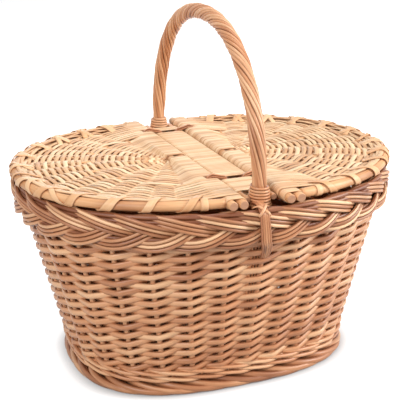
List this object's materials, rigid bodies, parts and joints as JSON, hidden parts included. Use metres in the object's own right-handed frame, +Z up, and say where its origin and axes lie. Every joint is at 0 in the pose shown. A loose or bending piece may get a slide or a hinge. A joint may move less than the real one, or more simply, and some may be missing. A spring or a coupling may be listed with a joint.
{
  "type": "picnic basket",
  "caption": "Oval woven willow picnic basket with a plaited rim, a fixed roped bow handle and a pair of half lids that swing up from a bar across the middle.",
  "frame": {"origin": "on the floor under the middle of the basket", "axes": "+X along the basket towards the right-hand lid, +Y from front to back along the hinge bar and the handle, +Z up"},
  "size_m": [0.4333, 0.3578, 0.3963],
  "materials": {
    "wall_willow": "satin, lightly varnished",
    "stake_willow": "satin, lightly varnished",
    "rim_willow": "satin, lightly varnished",
    "handle_willow": "satin, lightly varnished",
    "skein_willow": "smooth, split face",
    "stick_willow": "satin, lightly varnished"
  },
  "bodies": {
    "basket": {"foot_border": "rim_willow", "base_sticks": "stick_willow", "base_mat": "wall_willow", "stake_01": "stake_willow", "stake_02": "stake_willow", "stake_03": "stake_willow", "stake_04": "stake_willow", "stake_05": "stake_willow", "stake_06": "stake_willow", "stake_07": "stake_willow", "stake_08": "stake_willow", "stake_09": "stake_willow", "stake_10": "stake_willow", "stake_11": "stake_willow", "stake_12": "stake_willow", "stake_13": "stake_willow", "stake_14": "stake_willow", "stake_15": "stake_willow", "stake_16": "stake_willow", "stake_17": "stake_willow", "stake_18": "stake_willow", "stake_19": "stake_willow", "stake_20": "stake_willow", "stake_21": "stake_willow", "stake_22": "stake_willow", "stake_23": "stake_willow", "stake_24": "stake_willow", "stake_25": "stake_willow", "stake_26": "stake_willow", "stake_27": "stake_willow", "stake_28": "stake_willow", "stake_29": "stake_willow", "upsett_wale": "rim_willow", "siding_weaver_1": "wall_willow", "siding_weaver_2": "wall_willow", "siding_weaver_3": "wall_willow", "rim_plait": "rim_willow", "handle_core": "stick_willow", "handle_rope": "handle_willow", "handle_binding_front": "handle_willow", "handle_binding_back": "handle_willow", "handle_tail_front": "handle_willow", "handle_tail_back": "handle_willow", "hinge_bar_stick_right": "stick_willow", "hinge_bar_stick_left": "stick_willow", "hinge_bar_skein": "skein_willow", "hinge_loop_right_front": "skein_willow", "hinge_loop_right_back": "skein_willow", "hinge_loop_left_front": "skein_willow", "hinge_loop_left_back": "skein_willow"},
    "lid_right": {"lid_right_hoop": "stick_willow", "lid_right_inner_stick": "stick_willow", "lid_right_outer_stick": "stick_willow", "lid_right_ribs": "stick_willow", "lid_right_weave": "skein_willow"},
    "lid_left": {"lid_left_hoop": "stick_willow", "lid_left_inner_stick": "stick_willow", "lid_left_outer_stick": "stick_willow", "lid_left_ribs": "stick_willow", "lid_left_weave": "skein_willow"}
  },
  "joints": [
    {"name": "lid_right_hinge", "type": "hinge", "parent": "basket", "child": "lid_right", "pos_m": [0.0255, 0, 0.22645], "axis": [0, -1, 0], "range_deg": [0, 93]},
    {"name": "lid_left_hinge", "type": "hinge", "parent": "basket", "child": "lid_left", "pos_m": [-0.0255, 0, 0.22645], "axis": [0, 1, 0], "range_deg": [0, 93]}
  ]
}
